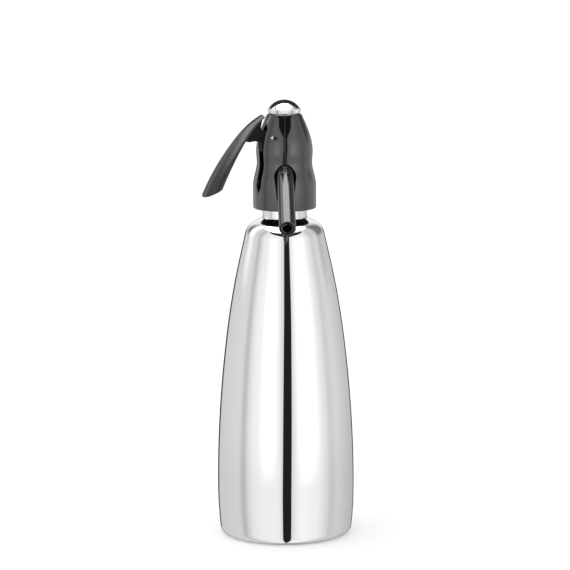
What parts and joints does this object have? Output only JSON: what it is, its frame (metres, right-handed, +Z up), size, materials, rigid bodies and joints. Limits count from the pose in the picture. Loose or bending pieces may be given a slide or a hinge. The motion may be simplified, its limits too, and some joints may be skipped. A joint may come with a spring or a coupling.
{
  "type": "soda siphon",
  "caption": "Soda siphon: polished steel bottle with a black head, squeeze lever, falling straight spout and a domed cap with a knurled rim over the gas inlet.",
  "frame": {"origin": "centre of the face the bottle stands on", "axes": "+Z up along the bottle and head axis, the spout towards -Y, the lever towards -X turned 33 degrees towards -Y"},
  "size_m": [0.1169, 0.134, 0.3398],
  "materials": {
    "polished_steel": "mirror polished stainless steel",
    "chrome_plate": "bright chrome plate",
    "black_plastic": "glossy black",
    "grey_plastic": "plain moulded",
    "white_plastic": "plain food-safe tube",
    "rubber_seal": "matte",
    "steel_pin": "bright turned steel",
    "spring_steel": "drawn spring wire",
    "brass_fitting": "turned brass"
  },
  "bodies": {
    "bottle": {"bottle": "polished_steel", "neck_ring": "polished_steel"},
    "neck_seal": {"neck_gasket": "rubber_seal"},
    "head": {"valve_body": "black_plastic", "head_cover": "black_plastic", "cover_nut": "steel_pin", "lever_pin": "steel_pin", "spout_tube": "black_plastic", "spout_seal": "rubber_seal", "stem_gland": "grey_plastic", "stem_oring": "rubber_seal", "valve_plug": "grey_plastic", "valve_spring": "spring_steel", "riser_tube": "white_plastic", "riser_seal": "rubber_seal", "measuring_tube": "white_plastic", "inlet_nipple": "chrome_plate", "piercing_pin": "steel_pin", "charge_gasket": "rubber_seal", "check_valve": "rubber_seal", "relief_disc": "rubber_seal", "relief_plug": "brass_fitting", "relief_spring": "spring_steel"},
    "lever": {"lever": "black_plastic"},
    "valve": {"valve_stem": "steel_pin", "valve_disc": "rubber_seal"},
    "cap_seal": {"cap_gasket": "rubber_seal"},
    "cap": {"cap_knurled_ring": "chrome_plate", "cap_dome": "chrome_plate"}
  },
  "joints": [
    {"name": "head_lift", "type": "slide", "parent": "bottle", "child": "neck_seal", "axis": [0, 0, 1], "range_m": [0, 0.29]},
    {"name": "head_turn", "type": "hinge", "parent": "neck_seal", "child": "head", "pos_m": [0, 0, 0.2745], "axis": [0, 0, 1], "continuous": true},
    {"name": "lever_squeeze", "type": "hinge", "parent": "head", "child": "lever", "pos_m": [-0.01401, -0.0091, 0.312], "axis": [0.5446, -0.8387, 0], "range_deg": [0, 16], "stiffness_Nm_per_rad": 1.5, "springref_deg": -11.46},
    {"name": "valve_push", "type": "slide", "parent": "head", "child": "valve", "axis": [0.8387, 0.5446, 0], "range_m": [0, 0.0024], "deforming": ["valve_spring"]},
    {"name": "cap_lift", "type": "slide", "parent": "head", "child": "cap_seal", "axis": [0, 0, 1], "range_m": [0, 0.03]},
    {"name": "cap_turn", "type": "hinge", "parent": "cap_seal", "child": "cap", "pos_m": [0, 0, 0.3354], "axis": [0, 0, 1], "continuous": true}
  ],
  "couplings": [
    {"joint": "valve_push", "follows": "lever_squeeze", "m_per_rad": 0.0081}
  ]
}
